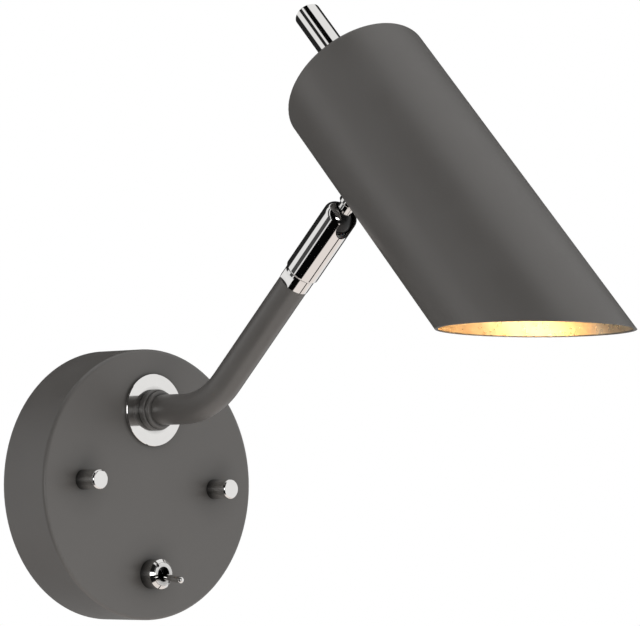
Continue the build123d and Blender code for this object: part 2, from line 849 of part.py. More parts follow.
# ball and hollow stem, all in one turned piece
stem_tip_station = 133.0
ball_flare = 1.2
flare_radius = wire_bore_radius + ball_flare
flare_station = ball_station - sqrt(ball_radius**2 - flare_radius**2)
neck_station = ball_station + sqrt(ball_radius**2 - stem_radius**2)

with BuildPart() as ball_stem:
    with BuildSketch(rise_outline):
        with BuildLine():
            ThreePointArc(
                (flare_radius, flare_station),
                (ball_radius, ball_station),
                (stem_radius, neck_station),
            )
            neck = Line((stem_radius, neck_station), (stem_radius, stem_tip_station))
            tip_ring = Line(neck @ 1, (wire_bore_radius, stem_tip_station))
            bore = Line(tip_ring @ 1, (wire_bore_radius, flare_station + 2 * ball_flare))
            Line(bore @ 1, (flare_radius, flare_station))
        make_face()
    revolve(axis=rise_axis)
save(ball_stem, "ball_stem")

# ================================================================ shade
shade_near_station = shade_station - shade_radius
flange_radius = 4.6
flange_foot_station = 119.8
flange_round = 0.5
shade_bore_radius = shade_radius - shade_wall

with BuildPart() as stem_flange:
    with BuildSketch(arm_plane(flange_foot_station)):
        Circle(flange_radius)
    extrude(amount=shade_near_station + 2 - flange_foot_station)
    lower_edge = stem_flange.edges().group_by(Axis((0, 0, 0), rise))[0]
    fillet(lower_edge, radius=flange_round)
    with BuildSketch(shade_plane(0)):
        Circle(shade_radius)
    extrude(amount=2 * flange_radius, both=True, mode=Mode.SUBTRACT)
    with BuildSketch(arm_plane(flange_foot_station)):
        Circle(stem_radius + thread_gap)
    extrude(amount=through, mode=Mode.SUBTRACT)
save(stem_flange, "stem_flange")

stem_hole_radius = stem_radius + gap
knob_screw_radius = 2.0
longest = 400.0

with BuildPart() as shade:
    with BuildSketch(shade_plane(shade_back_reach)):
        Circle(shade_radius)
    extrude(amount=shade_mouth_reach + 2 * shade_radius - shade_back_reach)
    back_rim = shade.edges().group_by(Axis((0, 0, 0), beam))[0]
    fillet(back_rim, radius=shade_edge_radius)
    open_end = shade.faces().sort_by(Axis((0, 0, 0), beam))[-1]
    offset(amount=-shade_wall, openings=open_end)
    with BuildSketch(Plane(origin=(0, shade_foot.Y, mouth_height), z_dir=(0, 0, -1))):
        Rectangle(longest, longest)
    extrude(amount=longest, mode=Mode.SUBTRACT)
    with BuildSketch(arm_plane(shade_near_station)):
        Circle(stem_hole_radius)
    extrude(amount=shade_radius / 2, both=True, mode=Mode.SUBTRACT)
    with BuildSketch(shade_plane(shade_back_reach)):
        Circle(knob_screw_radius + gap)
    extrude(amount=2 * shade_wall, mode=Mode.SUBTRACT)
save(shade, "shade")

knob_tip_reach = shade_back_reach - knob_length
knob_edge = 0.7
knob_thread_depth = 12.0

with BuildPart() as rear_knob:
    with BuildSketch(shade_plane(knob_tip_reach)):
        Circle(knob_radius)
    extrude(amount=knob_length)
    tip_edge = rear_knob.edges().group_by(Axis((0, 0, 0), beam))[0]
    chamfer(tip_edge, length=knob_edge)
    with BuildSketch(shade_plane(shade_back_reach)):
        Circle(knob_screw_radius + thread_gap)
    extrude(amount=-knob_thread_depth, mode=Mode.SUBTRACT)
save(rear_knob, "rear_knob")

screw_head_radius = 3.8
screw_head_height = 2.4
screw_head_round = 0.8
screw_length = 10.0
screw_cross_length = 4.2
screw_cross_width = 0.9
screw_cross_depth = 1.0
shade_floor_reach = shade_back_reach + shade_wall

with BuildPart() as knob_screw:
    with BuildSketch(shade_plane(shade_floor_reach)):
        Circle(screw_head_radius)
    extrude(amount=screw_head_height)
    head_edge = knob_screw.edges().group_by(Axis((0, 0, 0), beam))[-1]
    fillet(head_edge, radius=screw_head_round)
    with BuildSketch(shade_plane(shade_floor_reach)):
        Circle(knob_screw_radius)
    extrude(amount=-screw_length)
    with BuildSketch(shade_plane(shade_floor_reach + screw_head_height)):
        Rectangle(screw_cross_length, screw_cross_width)
        Rectangle(screw_cross_width, screw_cross_length)
    extrude(amount=-screw_cross_depth, mode=Mode.SUBTRACT)
save(knob_screw, "knob_screw")

# ---------------------------------------------------------------- lampholder and its bracket
plate = 1.5
bracket_half_width = 6.0
bracket_foot_station = shade_station - sqrt(shade_bore_radius**2 - bracket_half_width**2) + gap
bracket_foot_height = bracket_foot_station - shade_station
bracket_foot_end = 7.0
bracket_cross_end = 14.5
holder_back_reach = -22.5
bracket_back_reach = holder_back_reach - plate
holder_screw_places = [(0, -9), (0, 9)]
holder_screw_radius = 1.5

with BuildPart() as holder_bracket:
    with BuildSketch(shade_plane(bracket_back_reach)):
        with Locations((0, bracket_foot_height + plate / 2)):
            Rectangle(2 * bracket_half_width, plate)
    extrude(amount=bracket_foot_end - bracket_back_reach)
    with BuildSketch(shade_plane(bracket_back_reach)):
        with Locations((0, (bracket_foot_height + bracket_cross_end) / 2)):
            Rectangle(2 * bracket_half_width, bracket_cross_end - bracket_foot_height)
        with Locations(*holder_screw_places):
            Circle(holder_screw_radius + gap, mode=Mode.SUBTRACT)
    extrude(amount=plate)
    with BuildSketch(arm_plane(bracket_foot_station)):
        Circle(stem_hole_radius)
    extrude(amount=plate, mode=Mode.SUBTRACT)
save(holder_bracket, "holder_bracket")

stem_nut_flat = 5.5
stem_nut_height = 4.0

with BuildPart() as stem_nut:
    with BuildSketch(arm_plane(bracket_foot_station + plate)):
        RegularPolygon(radius=stem_nut_flat, side_count=6, major_radius=False)
        Circle(stem_radius + thread_gap, mode=Mode.SUBTRACT)
    extrude(amount=stem_nut_height)
save(stem_nut, "stem_nut")

holder_radius = 13.5
holder_height = 17.0
holder_round = 0.8
holder_front_reach = holder_back_reach + holder_height
half_pin_spacing = 5.0
pin_places = [(-half_pin_spacing, 0), (half_pin_spacing, 0)]
holder_socket_radius = 3.1
holder_socket_depth = 10.0
holder_thread_depth = 11.0
entry_reach = holder_back_reach + 4.0

with BuildPart() as lampholder:
    with BuildSketch(shade_plane(holder_back_reach)):
        Circle(holder_radius)
    extrude(amount=holder_height)
    fillet(lampholder.edges().group_by(Axis((0, 0, 0), beam))[-1], radius=holder_round)
    with BuildSketch(shade_plane(holder_front_reach)):
        with Locations(*pin_places):
            Circle(holder_socket_radius)
    extrude(amount=-holder_socket_depth, mode=Mode.SUBTRACT)
    with BuildSketch(shade_plane(holder_back_reach)):
        with Locations(*holder_screw_places):
            Circle(holder_screw_radius + thread_gap)
    extrude(amount=holder_thread_depth, mode=Mode.SUBTRACT)
    with BuildSketch(Plane(origin=shade_foot + beam * entry_reach, x_dir=RIGHT, z_dir=rise)):
        with Locations(*pin_places):
            Circle(lead_radius + gap)
    extrude(amount=-through, mode=Mode.SUBTRACT)
save(lampholder, "lampholder")

contact_disc_radius = 2.7
contact_disc_height = 3.2

with BuildPart() as holder_contacts:
    with BuildSketch(shade_plane(holder_front_reach - holder_socket_depth)):
        with Locations(*pin_places):
            Circle(contact_disc_radius)
    extrude(amount=contact_disc_height)
save(holder_contacts, "holder_contacts")

holder_head_radius = 2.8
holder_head_height = 1.9
holder_cross_length = 3.2
holder_cross_width = 0.7
holder_cross_depth = 0.9

with BuildPart() as holder_screws:
    with BuildSketch(shade_plane(bracket_back_reach)):
        with Locations(*holder_screw_places):
            Circle(holder_screw_radius)
    extrude(amount=holder_thread_depth)
    with BuildSketch(shade_plane(bracket_back_reach)):
        with Locations(*holder_screw_places):
            Circle(holder_head_radius)
    extrude(amount=-holder_head_height)
    with BuildSketch(shade_plane(bracket_back_reach - holder_head_height)):
        with Locations(*holder_screw_places):
            Rectangle(holder_cross_length, holder_cross_width)
            Rectangle(holder_cross_width, holder_cross_length)
    extrude(amount=holder_cross_depth, mode=Mode.SUBTRACT)
save(holder_screws, "holder_screws")

# ---------------------------------------------------------------- reflector lamp, 50 mm across
lamp_back_reach = holder_front_reach + gap
lamp_front_reach = lamp_back_reach + 50.0
lamp_radius = 25.0
lamp_neck_radius = 12.5
lamp_neck_edge = 2.0
lamp_neck_length = 14.0
glass = 1.2
neck_top_reach = lamp_back_reach + lamp_neck_length

with BuildPart() as lamp_base:
    with BuildSketch(shade_outline):
        with BuildLine():
            Polyline(
                (0, lamp_back_reach),
                (lamp_neck_radius - lamp_neck_edge, lamp_back_reach),
                (lamp_neck_radius, lamp_back_reach + lamp_neck_edge),
                (lamp_neck_radius, neck_top_reach),
                (0, neck_top_reach),
                close=True,
            )
        make_face()
    revolve(axis=shade_axis)
save(lamp_base, "lamp_base")

lamp_pin_length = 6.0
lamp_pin_radius = 1.5
lamp_pin_head_radius = 2.5
lamp_pin_head_height = 2.0

with BuildPart() as lamp_pins:
    with BuildSketch(shade_plane(lamp_back_reach)):
        with Locations(*pin_places):
            Circle(lamp_pin_radius)
    extrude(amount=-lamp_pin_length)
    with BuildSketch(shade_plane(lamp_back_reach - lamp_pin_length)):
        with Locations(*pin_places):
            Circle(lamp_pin_head_radius)
    extrude(amount=lamp_pin_head_height)
save(lamp_pins, "lamp_pins")

bowl_foot_radius = lamp_neck_radius + 0.5
bowl_foot_reach = neck_top_reach + gap
bowl_floor_reach = bowl_foot_reach + glass
bowl_middle_radius = 20.5
bowl_middle_reach = neck_top_reach + 15.0
bowl_inner_middle_reach = bowl_middle_reach + glass / 2
bowl_rim_reach = lamp_front_reach - 6.0

with BuildPart() as lamp_reflector:
    with BuildSketch(shade_outline):
        with BuildLine():
            bowl = ThreePointArc(
                (bowl_foot_radius, bowl_foot_reach),
                (bowl_middle_radius, bowl_middle_reach),
                (lamp_radius, bowl_rim_reach),
            )
            rim = Line(bowl @ 1, (lamp_radius, lamp_front_reach))
            rim_front = Line(rim @ 1, (lamp_radius - glass, lamp_front_reach))
            rim_inside = Line(rim_front @ 1, (lamp_radius - glass, bowl_rim_reach))
            inner_bowl = ThreePointArc(
                rim_inside @ 1,
                (bowl_middle_radius - glass, bowl_inner_middle_reach),
                (bowl_foot_radius - glass, bowl_floor_reach),
            )
            floor = Line(inner_bowl @ 1, (0, bowl_floor_reach))
            middle = Line(floor @ 1, (0, bowl_foot_reach))
            Line(middle @ 1, bowl @ 0)
        make_face()
    revolve(axis=shade_axis)
save(lamp_reflector, "lamp_reflector")

burner_radius = 4.0
burner_length = 12.0
burner_foot = bowl_floor_reach + thread_gap
burner_bulge = burner_radius * sin(radians(45))

with BuildPart() as lamp_burner:
    with BuildSketch(shade_outline):
        with BuildLine():
            side = Line((burner_radius, burner_foot), (burner_radius, burner_foot + burner_length))
            dome = ThreePointArc(
                side @ 1,
                (burner_bulge, burner_foot + burner_length + burner_bulge),
                (0, burner_foot + burner_length + burner_radius),
            )
            centre_line = Line(dome @ 1, (0, burner_foot))
            Line(centre_line @ 1, side @ 0)
        make_face()
    revolve(axis=shade_axis)
save(lamp_burner, "lamp_burner")

lens_thickness = 1.8
lens_inset = 0.4

with BuildPart() as lamp_lens:
    with BuildSketch(shade_plane(lamp_front_reach - lens_inset)):
        Circle(lamp_radius - glass - thread_gap)
    extrude(amount=-lens_thickness)
save(lamp_lens, "lamp_lens")

# ================================================================ wiring inside the lamp
# The leads run in pairs, one each side of the middle, and end where a body turns on the next.
earth_tag_place = (30.0, 20.0)
earth_tag_width = 6.3
earth_tag_length = 10.0
earth_tag_corner = 1.0
earth_tag_sheet = 0.8
earth_tag_reach = 8.0
earth_tag_lug = -(earth_tag_length - earth_tag_sheet) / 2

with BuildPart() as earth_tag:
    with BuildSketch(wall_plane(inner_depth, *earth_tag_place)):
        RectangleRounded(earth_tag_width, earth_tag_length, radius=earth_tag_corner)
    extrude(amount=-earth_tag_sheet)
    with BuildSketch(wall_plane(inner_depth, *earth_tag_place)):
        with Locations((0, earth_tag_lug)):
            Rectangle(earth_tag_width, earth_tag_sheet)
    extrude(amount=-earth_tag_reach)
save(earth_tag, "earth_tag")

lug_depth = terminal_tip_depth - 1.0 - lead_radius
upper_lug_height = switch_height + terminal_spacing
nipple_mouth_depth = nipple_tail_depth - 1.0
lead_turn_depth = 7.5
lead_bend_radius = 3.0


def lead(*route):
    """One insulated wire, with its straight runs joined by arcs."""
    with BuildPart() as wire:
        with BuildLine():
            path = FilletPolyline(*route, radius=lead_bend_radius)
        with BuildSketch(Plane(origin=path @ 0, z_dir=path % 0)):
            Circle(lead_radius)
        sweep()
    return wire.part


lamp_side = block_place[1] - 3.0
live_feed = lead(
    (pole_offset, -pole_axis_depth, lamp_side),
    (pole_offset, -pole_axis_depth, -31.0),
    (10.2, -lug_depth, -37.0),
    (switch_x + 1.0, -lug_depth, switch_height),
)
switched_live = lead(
    (switch_x - 1.0, -lug_depth, upper_lug_height),
    (-10.0, -lug_depth, upper_lug_height),
    (-19.5, -9.0, -28.0),
    (-20.5, -10.0, 2.0),
    (-14.0, -9.0, 22.0),
    (-lead_offset, -lead_turn_depth, arm_height),
    (-lead_offset, -(nipple_mouth_depth - gap), arm_height),
)
neutral = lead(
    (-pole_offset, -pole_axis_depth, lamp_side),
    (-pole_offset, -pole_axis_depth, -31.0),
    (-24.5, -12.5, -30.0),
    (-25.0, -12.5, 0.0),
    (-17.5, -10.0, 37.0),
    (lead_offset, -lead_turn_depth - 1.0, 46.0),
    (lead_offset, -lead_turn_depth, arm_height),
    (lead_offset, -(nipple_mouth_depth - gap), arm_height),
)
earth_link = lead(
    (earth_place[0] + 4.9, -bracket_thickness - lead_radius, earth_place[1]),
    (23.0, -bracket_thickness - lead_radius, 13.5),
    (earth_tag_place[0], -8.0, earth_tag_place[1] + earth_tag_lug),
    (earth_tag_place[0], earth_tag_reach + gap - inner_depth, earth_tag_place[1] + earth_tag_lug),
)
with BuildPart() as base_leads:
    add([live_feed, switched_live, neutral, earth_link])
save(base_leads, "base_leads")

with BuildPart() as arm_leads:
    for side in (-1, 1):
        aside = RIGHT * (side * lead_offset)
        mouth = Vector(0, -nipple_mouth_depth, arm_height) + aside
        with BuildLine():
            FilletPolyline(
                mouth,
                bend_corner + aside,
                bend_corner + rise * bolt_top_station + aside,
                radius=bend_radius,
            )
        with BuildSketch(Plane(origin=mouth, x_dir=RIGHT, z_dir=OUT)):
            Circle(lead_radius)
        sweep()
save(arm_leads, "arm_leads")

# the two ends here stay clear of the ball as it tilts
knuckle_lead_end = ball_station - ball_radius - gap
head_lead_start = ball_station - 5.9

with BuildPart() as knuckle_leads:
    with BuildSketch(arm_plane(bolt_top_station + gap)):
        with Locations((-lead_offset, 0), (lead_offset, 0)):
            Circle(lead_radius)
    extrude(amount=knuckle_lead_end - bolt_top_station - gap)
save(knuckle_leads, "knuckle_leads")


def in_shade(x, outward, reach):
    """A point from its distance to the right, away from the arm, and along the beam."""
    return shade_foot + RIGHT * x + rise * outward + beam * reach


lead_turn_height = -21.5
holder_entry_height = -7.0
holder_leads = [
    lead(
        in_shade(side * lead_offset, head_lead_start - shade_station, 0),
        in_shade(side * lead_offset, lead_turn_height, 0),
        in_shade(side * half_pin_spacing, lead_turn_height, entry_reach),
        in_shade(side * half_pin_spacing, holder_entry_height, entry_reach),
    )
    for side in (-1, 1)
]
with BuildPart() as head_leads:
    add(holder_leads)
save(head_leads, "head_leads")
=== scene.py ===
"""Looks of the bedside wall reading lamp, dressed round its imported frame.

Metres, in the part's own frame: the origin is the centre of the wall box's back, the lamp
stands out along -Y, and +Z is up. Angles in the studio are in degrees.
"""

import json
import math

import bpy
from mathutils import Matrix, Vector

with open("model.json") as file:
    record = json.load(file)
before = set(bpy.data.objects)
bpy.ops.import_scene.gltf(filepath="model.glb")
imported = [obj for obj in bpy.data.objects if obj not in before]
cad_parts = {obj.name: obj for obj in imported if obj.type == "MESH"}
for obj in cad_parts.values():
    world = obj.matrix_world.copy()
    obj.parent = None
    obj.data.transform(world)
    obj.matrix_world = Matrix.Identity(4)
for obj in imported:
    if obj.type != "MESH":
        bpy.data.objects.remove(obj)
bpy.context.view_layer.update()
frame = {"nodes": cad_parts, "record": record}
nodes = frame["nodes"]
scene = bpy.context.scene

MM = 0.001
DEGREES_PER_RADIAN = 180 / math.pi

# where things are, from the part

DIAGONAL = math.sqrt(0.5)
BEAM = Vector((0, -DIAGONAL, -DIAGONAL))
SHADE_FOOT = Vector((0, -0.17772, 0.14472))
SHADE_RADIUS = 0.033
SHADE_WALL = 0.001
SHADE_BACK_REACH = -0.035
SHADE_MOUTH_REACH = 0.120
MOUTH_HEIGHT = (SHADE_FOOT + SHADE_MOUTH_REACH * BEAM).z
BALL_CENTRE = Vector((0, -0.144135, 0.111135))
BALL_RADIUS = 0.0063

# camera, at the photograph's view

AZIMUTH = math.radians(-42.792)
ELEVATION = math.radians(-5.10)
ROLL = math.radians(1.975)
TARGET = Vector((0.032607, -0.100, 0.076114))
DISTANCE = 1.748522
FOCAL_LENGTH = 225.0
SENSOR_WIDTH = 36.0
VIEW_END = 60.0


def make_camera():
    away = Vector(
        (
            math.sin(AZIMUTH) * math.cos(ELEVATION),
            -math.cos(AZIMUTH) * math.cos(ELEVATION),
            math.sin(ELEVATION),
        )
    )
    level_right = (-away).cross(Vector((0, 0, 1))).normalized()
    level_up = level_right.cross(-away)
    right = math.cos(ROLL) * level_right + math.sin(ROLL) * level_up
    up = math.cos(ROLL) * level_up - math.sin(ROLL) * level_right
    data = bpy.data.cameras.new("camera")
    data.sensor_fit = "HORIZONTAL"
    data.sensor_width = SENSOR_WIDTH
    data.lens = FOCAL_LENGTH
    data.clip_end = VIEW_END
    camera = bpy.data.objects.new("camera", data)
    turn = Matrix((right, up, away)).transposed().to_4x4()
    camera.matrix_world = Matrix.Translation(TARGET + DISTANCE * away) @ turn
    scene.collection.objects.link(camera)
    scene.camera = camera


make_camera()
scene.view_settings.view_transform = "Standard"

# shader graph helpers

# sockets of the Mix node that belong to colours
MIX_FIRST = 6
MIX_SECOND = 7
MIX_RESULT = 2

# cosines between a face's own normal and its rounded one
PLAIN_FACE = 0.995
FULL_EDGE = 0.90


class Graph:
    """Adds nodes to one material or world."""

    def __init__(self, owner):
        owner.use_nodes = True
        self.tree = owner.node_tree
        self.tree.nodes.clear()

    def add(self, kind, *sources, **settings):
        node = self.tree.nodes.new(kind)
        for key, value in settings.items():
            setattr(node, key, value)
        for place, source in enumerate(sources):
            self.feed(node.inputs[place], source)
        return node

    def feed(self, socket, source):
        if source is None:
            return
        if isinstance(source, bpy.types.NodeSocket):
            self.tree.links.new(source, socket)
        else:
            socket.default_value = source

    def math(self, operation, *sources):
        return self.add("ShaderNodeMath", *sources, operation=operation).outputs[0]

    def vector(self, operation, *sources, output=0):
        return self.add("ShaderNodeVectorMath", *sources, operation=operation).outputs[output]

    def spread(self, value, low, high, first=0.0, last=1.0, smooth=True):
        """Runs from first to last while value goes from low to high."""
        node = self.add("ShaderNodeMapRange", value, low, high, first, last)
        node.interpolation_type = "SMOOTHSTEP" if smooth else "LINEAR"
        return node.outputs[0]

    def band(self, value, low, high, soft):
        """1 between low and high, 0 outside, with soft edges."""
        rise = self.spread(value, low - soft, low + soft)
        fall = self.spread(value, high - soft, high + soft, 1.0, 0.0)
        return self.math("MULTIPLY", rise, fall)

    def mix(self, factor, first, second):
        """Colours mixed by factor."""
        node = self.add("ShaderNodeMix", data_type="RGBA")
        self.feed(node.inputs["Factor"], factor)
        self.feed(node.inputs[MIX_FIRST], first)
        self.feed(node.inputs[MIX_SECOND], second)
        return node.outputs[MIX_RESULT]

    def mix_surfaces(self, factor, first, second):
        return self.add("ShaderNodeMixShader", factor, first.outputs[0], second.outputs[0])

    def place(self):
        """The point on the piece, in the part's own frame, whatever the pose."""
        return self.add("ShaderNodeTexCoord").outputs["Object"]

    def off_beam(self, from_foot):
        """How far a point is from the shade's axis, given from the shade's foot."""
        across = self.vector("CROSS_PRODUCT", from_foot, tuple(BEAM))
        return self.vector("LENGTH", across, output="Value")

    def noise(self, point, scale, detail=3.0, rough=0.5, stretch=None):
        if stretch is not None:
            point = self.vector("MULTIPLY", point, stretch)
        node = self.add("ShaderNodeTexNoise")
        self.feed(node.inputs["Vector"], point)
        node.inputs["Scale"].default_value = scale
        node.inputs["Detail"].default_value = detail
        node.inputs["Roughness"].default_value = rough
        return node.outputs[0]

    def cells(self, point, scale):
        node = self.add("ShaderNodeTexVoronoi")
        self.feed(node.inputs["Vector"], point)
        node.inputs["Scale"].default_value = scale
        return node

    def edges(self, radius, strength=1.0):
        """Up to strength along the outer edges of the piece, 0 on its plain faces."""
        soft = self.add("ShaderNodeBevel", samples=4)
        soft.inputs["Radius"].default_value = radius
        plain = self.add("ShaderNodeNewGeometry").outputs["Normal"]
        close = self.vector("DOT_PRODUCT", soft.outputs[0], plain, output="Value")
        return self.spread(close, PLAIN_FACE, FULL_EDGE, 0.0, strength)

    def painted_shade(self, reach, dark, power=1.0):
        """Painted shade: 1 on open faces, falling to dark in corners and beside other pieces.
        """
        node = self.add("ShaderNodeAmbientOcclusion", samples=8)
        node.inputs["Distance"].default_value = reach
        painted_shade_mask = self.math("POWER", node.outputs["AO"], power)
        return self.spread(painted_shade_mask, 0.0, 1.0, dark, 1.0, smooth=False)

    def bump(self, height, strength, distance):
        node = self.add("ShaderNodeBump")
        node.inputs["Strength"].default_value = strength
        node.inputs["Distance"].default_value = distance
        self.feed(node.inputs["Height"], height)
        return node.outputs[0]

    def surface(self, colour, roughness, normal=None, **others):
        """A principled surface, its other sockets named with _ for a space."""
        node = self.add("ShaderNodeBsdfPrincipled")
        self.feed(node.inputs["Base Color"], colour)
        self.feed(node.inputs["Roughness"], roughness)
        self.feed(node.inputs["Normal"], normal)
        for key, value in others.items():
            self.feed(node.inputs[key.replace("_", " ")], value)
        return node

    def finish(self, shader, kind="ShaderNodeOutputMaterial"):
        output = self.add(kind)
        self.tree.links.new(shader.outputs[0], output.inputs["Surface"])


def rgb(red, green, blue):
    return (red, green, blue, 1.0)


def tone(value, warm=0.0):
    """A grey, made a little warmer."""
    return rgb(value * (1 + warm), value, value * (1 - warm))


# materials: one for each slot of the record, and two more kinds of chrome


def powder_coat(g, point):
    """A surface of matte dark-grey powder coat, with lighter worn edges and painted shade in
    corners and beside other pieces.
    """
    cloud = g.noise(point, scale=45.0, detail=2.0)
    speck = g.noise(point, scale=2600.0, detail=2.0)
    rub = g.noise(point, scale=320.0, detail=4.0, rough=0.65)
    wear = g.math("MULTIPLY", g.edges(0.9 * MM), g.spread(rub, 0.42, 0.66))
    painted_shade_mask = g.painted_shade(14 * MM, dark=0.25)

    colour = g.mix(cloud, tone(0.064, warm=0.085), tone(0.073, warm=0.07))
    colour = g.mix(g.spread(speck, 0.55, 0.75, 0.0, 0.25), colour, tone(0.10, warm=0.02))
    colour = g.mix(g.math("MULTIPLY", wear, 0.55), colour, tone(0.16, warm=0.02))
    # painted shade: the coat goes near black in corners and beside other pieces
    colour = g.mix(painted_shade_mask, tone(0.006, warm=0.01), colour)

    roughness = g.spread(g.math("ADD", speck, cloud), 0.7, 1.3, 0.37, 0.47)
    roughness = g.math("SUBTRACT", roughness, g.math("MULTIPLY", wear, 0.08))
    orange_peel = g.noise(point, scale=950.0)
    peel = g.math("ADD", orange_peel, g.math("MULTIPLY", speck, 0.35))
    normal = g.bump(peel, strength=0.22, distance=0.08 * MM)
    # painted shade also dims the coat's gloss there
    gloss = g.math("MULTIPLY", painted_shade_mask, 0.8)
    return g.surface(colour, roughness, normal, Specular_IOR_Level=gloss)


def powder_grey(g):
    return powder_coat(g, g.place())


def gold_lacquer(g, point):
    """A surface of satin gold lacquer, with soft streaks."""
    streak = g.noise(point, scale=260.0, rough=0.6, stretch=(1.0, 0.35, 0.35))
    grain = g.noise(point, scale=700.0, detail=2.0)
    colour = g.mix(streak, rgb(0.78, 0.59, 0.38), rgb(0.86, 0.70, 0.48))
    roughness = g.spread(g.math("ADD", streak, grain), 0.7, 1.3, 0.27, 0.34)
    normal = g.bump(grain, strength=0.05, distance=0.02 * MM)
    return g.surface(colour, roughness, normal, Metallic=0.8)


def shade_coat(g):
    """Powder coat outside and just round the rim, satin gold lacquer inside the tube."""
    point = g.place()
    from_foot = g.vector("SUBTRACT", point, tuple(SHADE_FOOT))
    reach = g.vector("DOT_PRODUCT", from_foot, tuple(BEAM), output="Value")
    height = g.add("ShaderNodeSeparateXYZ", point).outputs[2]

    # the two coats meet inside the metal, where nothing shows
    in_wall = SHADE_RADIUS - 0.75 * SHADE_WALL
    in_back = SHADE_BACK_REACH + 0.6 * SHADE_WALL
    soft = 0.04 * MM
    inner = g.spread(g.off_beam(from_foot), in_wall + soft, in_wall - soft)
    inner = g.math("MULTIPLY", inner, g.spread(reach, in_back, in_back + 2 * soft))
    # and just above the rim, whose cut face is powder coated
    above_rim = g.spread(height, MOUTH_HEIGHT + 0.3 * MM, MOUTH_HEIGHT + 0.6 * MM)
    inner = g.math("MULTIPLY", inner, above_rim)
    return g.mix_surfaces(inner, powder_coat(g, point), gold_lacquer(g, point))


def chrome(g, painted_shade_mask):
    """Polished chrome, darkened by painted shade where other pieces stand close round it."""
    point = g.place()
    haze = g.noise(point, scale=130.0, rough=0.6)
    scratch = g.noise(point, scale=2400.0, detail=2.0, rough=0.6, stretch=(1.0, 0.12, 1.0))
    colour = g.mix(haze, rgb(0.75, 0.74, 0.725), rgb(0.81, 0.80, 0.785))
    colour = g.mix(g.edges(0.4 * MM, strength=0.35), colour, rgb(0.86, 0.85, 0.84))
    # painted shade: the chrome goes dark where other pieces stand close
    colour = g.mix(painted_shade_mask, tone(0.015), colour)
    roughness = g.spread(haze, 0.35, 0.75, 0.035, 0.075)
    roughness = g.math("ADD", roughness, g.spread(scratch, 0.62, 0.80, 0.0, 0.05))
    normal = g.bump(scratch, strength=0.05, distance=0.01 * MM)
    return g.surface(colour, roughness, normal, Metallic=1.0)


def polished_chrome(g):
    # painted shade within 2 mm of other pieces
    return chrome(g, g.painted_shade(2 * MM, dark=0.3))


def painted_shade_chrome(g):
    """The same chrome round the switch and on the cap nuts, with painted shade darkening it
    towards the box.
    """
    return chrome(g, g.painted_shade(8 * MM, dark=0.0, power=3.0))


def ball_chrome(g):
    """Chrome stem, with its ball painted dark as painted shade for the ball inside the swivel's
    cup.
    """
    point = g.place()
    off_centre = g.vector("DISTANCE", point, tuple(BALL_CENTRE), output="Value")
    on_stem = g.spread(off_centre, BALL_RADIUS + 0.1 * MM, BALL_RADIUS + 0.4 * MM)
    cloud = g.noise(point, scale=700.0, detail=4.0, rough=0.6)
    # painted shade: the ball is coloured near black, as it sits in the cup's shade
    colour = g.mix(cloud, tone(0.012), tone(0.05))
    roughness = g.spread(cloud, 0.3, 0.7, 0.28, 0.42)
    normal = g.bump(cloud, strength=0.3, distance=0.05 * MM)
    ball = g.surface(colour, roughness, normal, Metallic=0.8)
    # painted shade on the stem where other pieces stand close
    stem = chrome(g, g.painted_shade(3 * MM, dark=0.1))
    return g.mix_surfaces(on_stem, ball, stem)


def zinc_steel(g):
    point = g.place()
    spangle = g.cells(point, scale=900.0).outputs["Color"]
    cloud = g.noise(point, scale=220.0, detail=4.0)
    colour = g.mix(cloud, rgb(0.50, 0.51, 0.53), rgb(0.66, 0.66, 0.65))
    colour = g.mix(g.edges(0.3 * MM, strength=0.5), colour, tone(0.80))
    patch = g.vector("LENGTH", spangle, output="Value")
    roughness = g.spread(g.math("ADD", patch, cloud), 0.8, 2.2, 0.26, 0.46)
    normal = g.bump(cloud, strength=0.15, distance=0.05 * MM)
    return g.surface(colour, roughness, normal, Metallic=1.0)


def spring_steel(g):
    point = g.place()
    cloud = g.noise(point, scale=420.0, detail=4.0)
    colour = g.mix(cloud, rgb(0.14, 0.14, 0.15), rgb(0.25, 0.25, 0.26))
    colour = g.mix(g.edges(0.3 * MM), colour, rgb(0.45, 0.45, 0.46))
    roughness = g.spread(cloud, 0.3, 0.7, 0.36, 0.52)
    normal = g.bump(cloud, strength=0.2, distance=0.04 * MM)
    return g.surface(colour, roughness, normal, Metallic=1.0)


def plain_brass(g):
    point = g.place()
    turned = g.noise(point, scale=1500.0, detail=2.0, stretch=(0.3, 1.0, 0.3))
    tarnish = g.noise(point, scale=160.0, detail=4.0, rough=0.6)
    colour = g.mix(tarnish, rgb(0.62, 0.43, 0.17), rgb(0.80, 0.60, 0.27))
    roughness = g.spread(g.math("ADD", turned, tarnish), 0.7, 1.3, 0.22, 0.36)
    normal = g.bump(turned, strength=0.12, distance=0.03 * MM)
    return g.surface(colour, roughness, normal, Metallic=1.0)


def white_nylon(g):
    point = g.place()
    flow = g.noise(point, scale=110.0, rough=0.6, stretch=(1.0, 1.0, 0.4))
    grain = g.noise(point, scale=2200.0, detail=2.0)
    colour = g.mix(flow, rgb(0.70, 0.68, 0.61), rgb(0.79, 0.78, 0.73))
    roughness = g.spread(grain, 0.3, 0.7, 0.42, 0.54)
    normal = g.bump(grain, strength=0.15, distance=0.04 * MM)
    return g.surface(colour, roughness, normal, Subsurface_Weight=0.12, Subsurface_Scale=1 * MM)


def switch_red(g):
    point = g.place()
    flow = g.noise(point, scale=140.0, rough=0.6)
    grain = g.noise(point, scale=1900.0, detail=2.0)
    colour = g.mix(flow, rgb(0.16, 0.022, 0.018), rgb(0.24, 0.036, 0.028))
    colour = g.mix(g.edges(0.4 * MM, strength=0.3), colour, rgb(0.40, 0.12, 0.10))
    roughness = g.spread(flow, 0.3, 0.7, 0.26, 0.36)
    return g.surface(colour, roughness, g.bump(grain, strength=0.1, distance=0.04 * MM))


